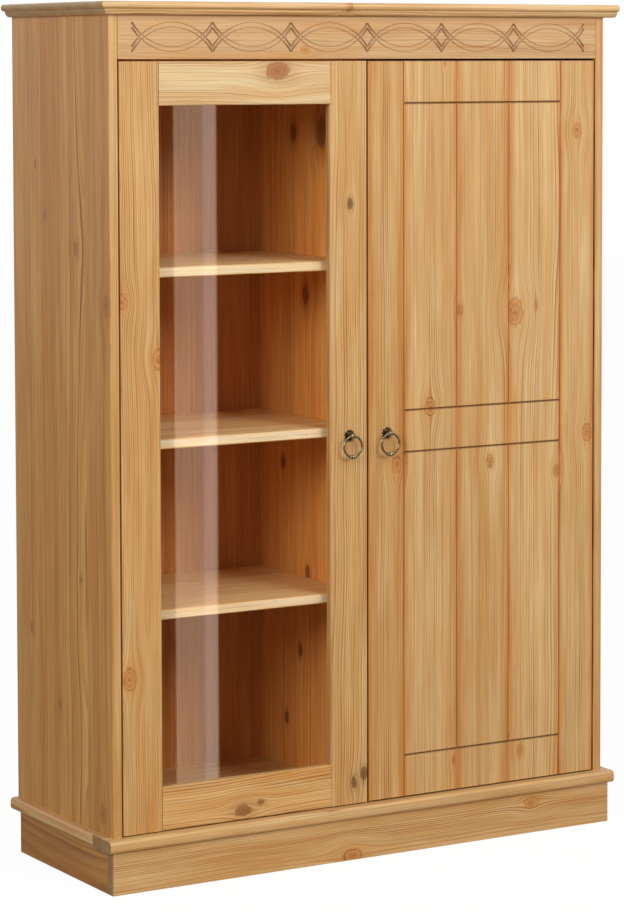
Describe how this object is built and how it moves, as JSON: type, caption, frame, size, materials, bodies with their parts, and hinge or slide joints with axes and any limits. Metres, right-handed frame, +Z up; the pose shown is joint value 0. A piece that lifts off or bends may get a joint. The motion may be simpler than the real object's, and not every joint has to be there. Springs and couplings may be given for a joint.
{
  "type": "highboard cupboard",
  "caption": "Tall pine cupboard with a glazed door, a grooved board door, brass ring pulls, a carved frieze under a moulded top, shelves and a plinth.",
  "frame": {"origin": "on the floor, in the middle of the cupboard's whole width and depth", "axes": "+Z up, +X to the right seen from the front, +Y to the back; the doors face -Y"},
  "size_m": [0.938, 0.347, 1.337],
  "materials": {
    "pine": "waxed honey-coloured pine with knots",
    "back_ply": "stained thin pine board",
    "beech": "raw ribbed dowel",
    "clear_glass": "clear float glass",
    "antique_brass": "dark aged brass",
    "nickel_steel": "nickel-plated pressed steel",
    "zinc_steel": "zinc-plated steel",
    "bumper_plastic": "soft clear pad"
  },
  "bodies": {
    "root": {"top_board": "pine", "bottom_board": "pine", "centre_partition": "pine", "back_panel_screws": "zinc_steel", "frieze_board": "pine", "plinth_front": "pine", "plinth_back": "pine", "plinth_glue_blocks": "pine", "ledge_front": "pine", "ledge_back": "pine", "top_dowels": "beech", "base_dowels": "beech", "door_bumpers": "bumper_plastic", "side_panel_left": "pine", "back_panel_left": "back_ply", "plinth_left": "pine", "ledge_left": "pine", "shelf_left_1": "pine", "shelf_left_2": "pine", "shelf_left_3": "pine", "shelf_pins_left": "zinc_steel", "left_hinge_arms": "nickel_steel", "left_hinge_plates": "nickel_steel", "left_hinge_plate_screws": "zinc_steel", "side_panel_right": "pine", "back_panel_right": "back_ply", "plinth_right": "pine", "ledge_right": "pine", "shelf_right_1": "pine", "shelf_right_2": "pine", "shelf_right_3": "pine", "shelf_pins_right": "zinc_steel", "right_hinge_arms": "nickel_steel", "right_hinge_plates": "nickel_steel", "right_hinge_plate_screws": "zinc_steel"},
    "left_door": {"left_door_hinge_stile": "pine", "left_door_meeting_stile": "pine", "left_door_bottom_rail": "pine", "left_door_top_rail": "pine", "left_door_glass": "clear_glass", "left_door_bead_hinge_side": "pine", "left_door_bead_meeting_side": "pine", "left_door_bead_bottom": "pine", "left_door_bead_top": "pine", "left_hinge_cups": "nickel_steel", "left_hinge_pins": "nickel_steel", "left_handle_rosette": "antique_brass", "left_handle_screw": "zinc_steel"},
    "left_ring": {"left_handle_ring": "antique_brass"},
    "right_door": {"right_door_panel": "pine", "right_door_batten_bottom": "pine", "right_door_batten_top": "pine", "right_hinge_cups": "nickel_steel", "right_hinge_pins": "nickel_steel", "right_handle_rosette": "antique_brass", "right_handle_screw": "zinc_steel"},
    "right_ring": {"right_handle_ring": "antique_brass"}
  },
  "joints": [
    {"name": "left_door_hinge", "type": "hinge", "parent": "root", "child": "left_door", "pos_m": [-0.42, -0.1465, 0.667], "axis": [0, 0, -1], "range_deg": [0, 100]},
    {"name": "left_ring_swing", "type": "hinge", "parent": "left_door", "child": "left_ring", "pos_m": [-0.0345, -0.1665, 0.667], "axis": [-1, 0, 0], "range_deg": [-14, 110]},
    {"name": "right_door_hinge", "type": "hinge", "parent": "root", "child": "right_door", "pos_m": [0.42, -0.1465, 0.667], "axis": [0, 0, 1], "range_deg": [0, 100]},
    {"name": "right_ring_swing", "type": "hinge", "parent": "right_door", "child": "right_ring", "pos_m": [0.0345, -0.1665, 0.667], "axis": [-1, 0, 0], "range_deg": [-14, 110]}
  ]
}
